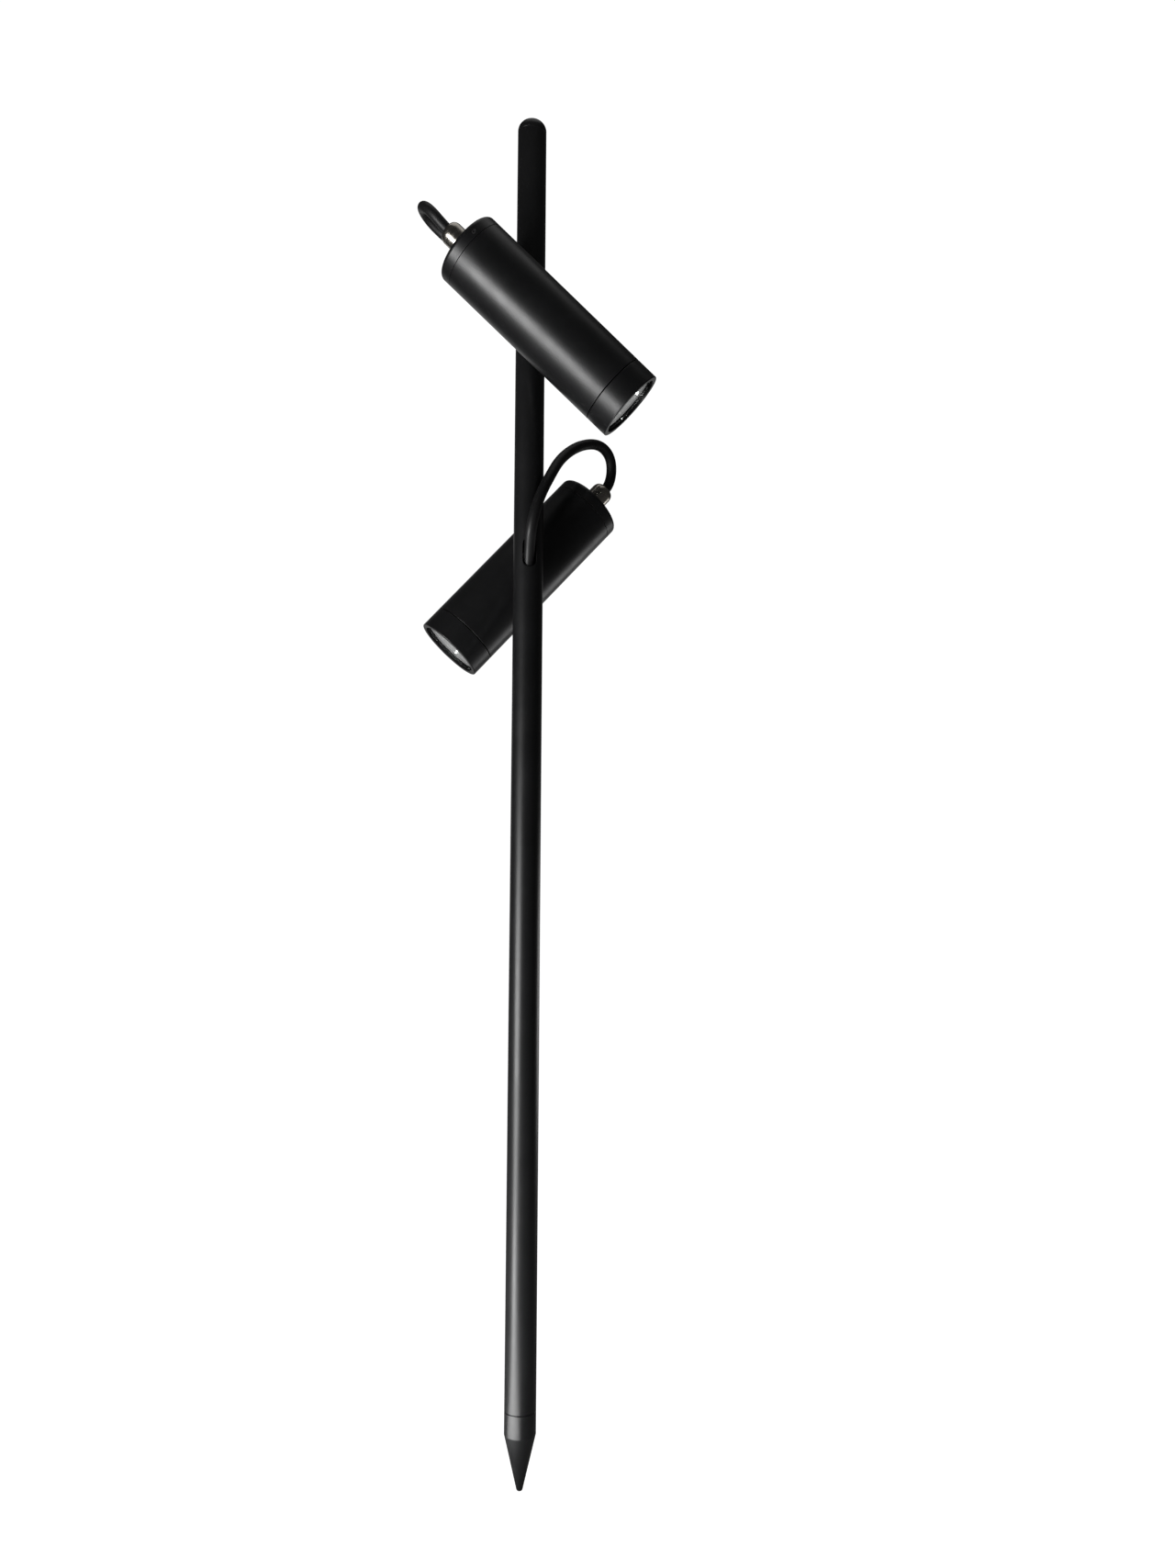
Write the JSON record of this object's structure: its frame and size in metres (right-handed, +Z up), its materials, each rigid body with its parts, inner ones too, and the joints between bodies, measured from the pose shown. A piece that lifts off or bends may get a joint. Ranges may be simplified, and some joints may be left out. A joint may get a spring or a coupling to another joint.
{
  "type": "garden spotlight stake",
  "caption": "Round black garden stake with a screwed-on ground spike and two cylindrical LED spotlight heads on friction swivels, each fed by a short rubber lead.",
  "frame": {"origin": "tip of the ground spike, on the pole's axis", "axes": "+Z up the pole; the upper head hangs on the -Y side and the lower head on the +Y side"},
  "size_m": [0.1727, 0.1456, 1],
  "materials": {
    "black_satin": "fine satin black powder coat on aluminium",
    "cable_rubber": "smooth matt black rubber sheath",
    "black_rubber": "moulded matt rubber",
    "seal_silicone": "matt silicone seal",
    "nickel": "bright nickel plate on brass, slightly warm",
    "steel": "plain stainless steel",
    "bare_aluminium": "turned aluminium",
    "mirror_aluminium": "vacuum-metallised reflector",
    "clear_glass": "clear toughened glass",
    "white_board": "white solder mask",
    "phosphor": "yellow phosphor dome",
    "potting": "cast potting compound",
    "nylon": "moulded nylon"
  },
  "bodies": {
    "pole": {"pole_tube": "black_satin", "top_plug": "black_satin", "top_plug_seal": "seal_silicone", "ground_spike": "black_satin", "spike_socket": "bare_aluminium", "spike_stud": "steel", "inlet_grommet": "black_rubber", "terminal_block": "nylon", "feed_cable": "cable_rubber", "link_cable": "cable_rubber", "upper_pole_saddle": "black_satin", "upper_friction_washer": "nylon", "upper_inner_saddle_washer": "steel", "upper_spring_washer": "steel", "upper_junction": "potting", "lower_pole_saddle": "black_satin", "lower_friction_washer": "nylon", "lower_inner_saddle_washer": "steel", "lower_spring_washer": "steel", "lower_junction": "potting"},
    "upper_lamp": {"upper_housing": "black_satin", "upper_front_bezel": "black_satin", "upper_lens": "clear_glass", "upper_lens_gasket": "seal_silicone", "upper_reflector": "mirror_aluminium", "upper_led_emitter": "phosphor", "upper_led_board": "white_board", "upper_board_screw_1": "steel", "upper_board_screw_2": "steel", "upper_heat_sink": "bare_aluminium", "upper_driver": "potting", "upper_rear_cap": "black_satin", "upper_cap_seal": "seal_silicone", "upper_cap_screw": "steel", "upper_gland_body": "nickel", "upper_gland_nut": "nickel", "upper_gland_seal": "seal_silicone", "upper_swivel_boss": "black_satin", "upper_swivel_bolt": "steel", "upper_lead": "cable_rubber"},
    "lower_lamp": {"lower_housing": "black_satin", "lower_front_bezel": "black_satin", "lower_lens": "clear_glass", "lower_lens_gasket": "seal_silicone", "lower_reflector": "mirror_aluminium", "lower_led_emitter": "phosphor", "lower_led_board": "white_board", "lower_board_screw_1": "steel", "lower_board_screw_2": "steel", "lower_heat_sink": "bare_aluminium", "lower_driver": "potting", "lower_rear_cap": "black_satin", "lower_cap_seal": "seal_silicone", "lower_cap_screw": "steel", "lower_gland_body": "nickel", "lower_gland_nut": "nickel", "lower_gland_seal": "seal_silicone", "lower_swivel_boss": "black_satin", "lower_swivel_bolt": "steel", "lower_lead": "cable_rubber"}
  },
  "joints": [
    {"name": "upper_swivel", "type": "hinge", "parent": "pole", "child": "upper_lamp", "pos_m": [0, 0, 0.818], "axis": [0, -1, 0], "range_deg": [-32.3, 42.7], "deforming": ["upper_lead"]},
    {"name": "lower_swivel", "type": "hinge", "parent": "pole", "child": "lower_lamp", "pos_m": [0, 0, 0.6543], "axis": [0, 1, 0], "range_deg": [-27.1, 47.9], "deforming": ["lower_lead"]}
  ]
}
